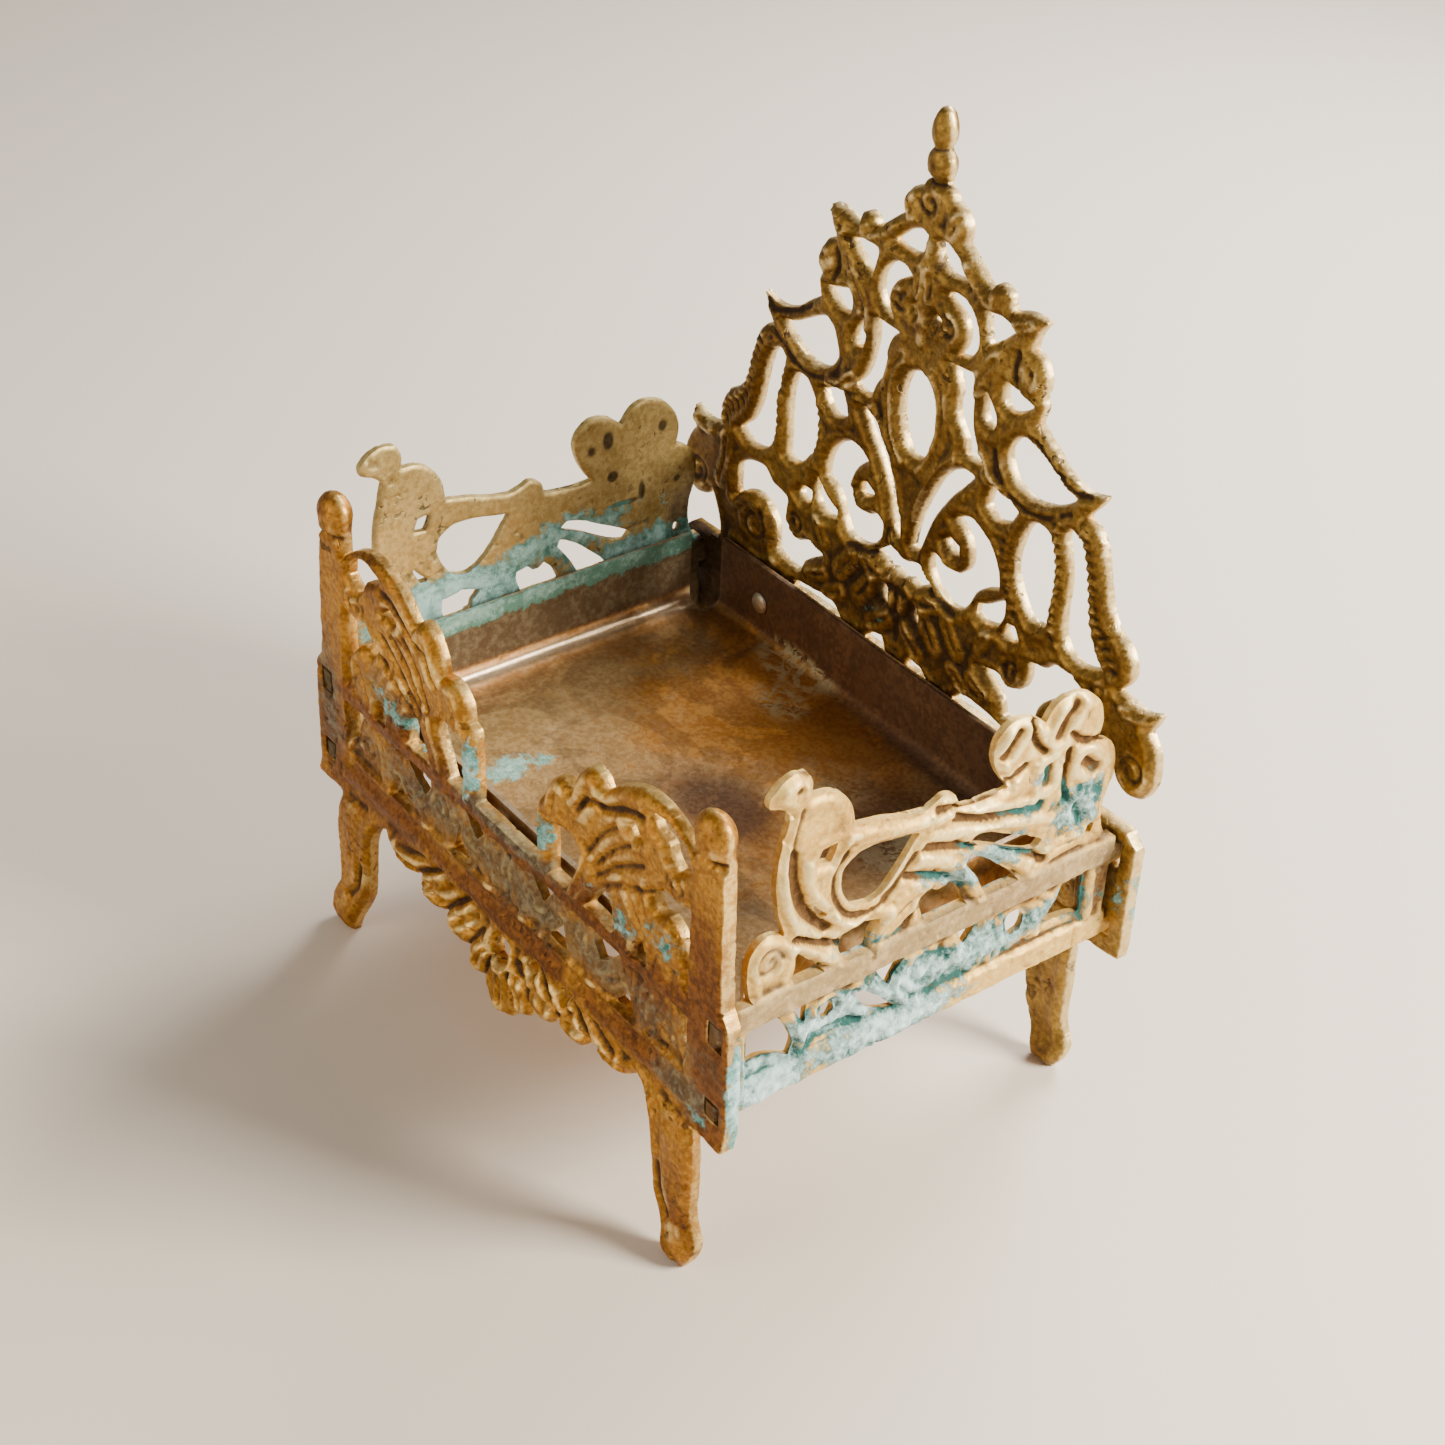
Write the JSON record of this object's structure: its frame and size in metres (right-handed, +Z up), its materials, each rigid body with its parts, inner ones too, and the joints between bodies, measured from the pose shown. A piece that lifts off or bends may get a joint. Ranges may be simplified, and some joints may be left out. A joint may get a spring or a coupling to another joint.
{
  "type": "miniature bed",
  "caption": "Miniature cast brass bed-throne: pierced headboard with peacocks, pierced sides and stepped front on short curved legs, around a shallow folded tray",
  "frame": {"origin": "centre of the footprint of the bounding box, on the floor", "axes": "+X is the bed's right side as seen by the viewer facing the front casting, +Y runs from the front casting to the headboard, +Z is up"},
  "size_m": [0.104, 0.0726, 0.1312],
  "materials": {
    "front_brass": "sand cast brass, warm brown patina with grey-green grime in the frieze",
    "back_brass": "sand cast brass, dark olive-brown patina, bright worn edges, pitted",
    "left_side_brass": "sand cast brass, dull olive gold flat back, turquoise verdigris along the tray",
    "right_side_brass": "sand cast brass, pale rubbed peacock over a frieze crusted with pale verdigris",
    "tray_brass": "rolled sheet brass, mottled copper-brown tarnish with purple-brown stains and green spots",
    "rivet_metal": "pale soft rivet, dull"
  },
  "bodies": {
    "root": {"front_panel": "front_brass", "back_panel": "back_brass", "left_side_panel": "left_side_brass", "right_side_panel": "right_side_brass", "tray": "tray_brass", "left_rivet": "rivet_metal", "right_rivet": "rivet_metal"}
  },
  "joints": []
}
